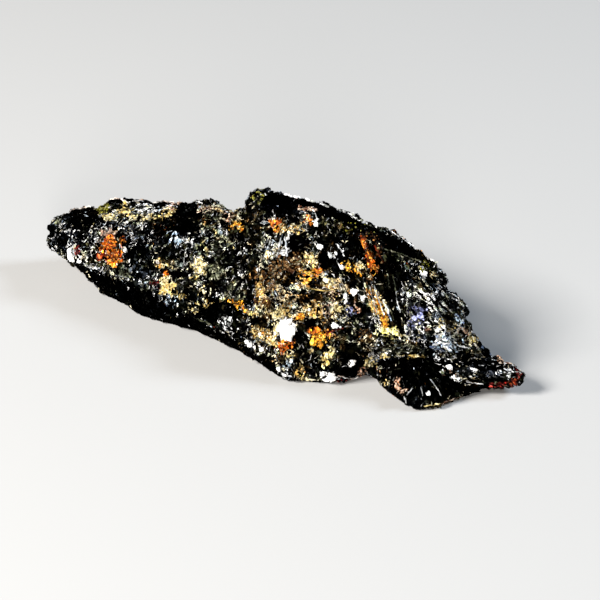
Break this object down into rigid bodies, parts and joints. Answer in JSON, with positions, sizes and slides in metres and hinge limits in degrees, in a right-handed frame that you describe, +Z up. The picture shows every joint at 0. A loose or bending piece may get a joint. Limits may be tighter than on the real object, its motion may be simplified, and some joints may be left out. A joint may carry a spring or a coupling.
{
  "type": "specular hematite specimen",
  "caption": "Low, flat-bottomed lump of platy iron ore with a thin nose, a smooth cleavage top, steep leaning layers, a ledge, a fanned foot and a short tail.",
  "frame": {"origin": "on the surface it rests on, at the centre of the bounding box's bottom", "axes": "+X along the length from the thin nose to the tail, +Z up, -Y towards the near face with the leaning layers and the ledge"},
  "size_m": [0.109, 0.0372, 0.0266],
  "materials": {
    "hematite": "bright steel-black flakes with rust, ochre and white patches"
  },
  "bodies": {
    "root": {"specular_hematite": "hematite"}
  },
  "joints": []
}
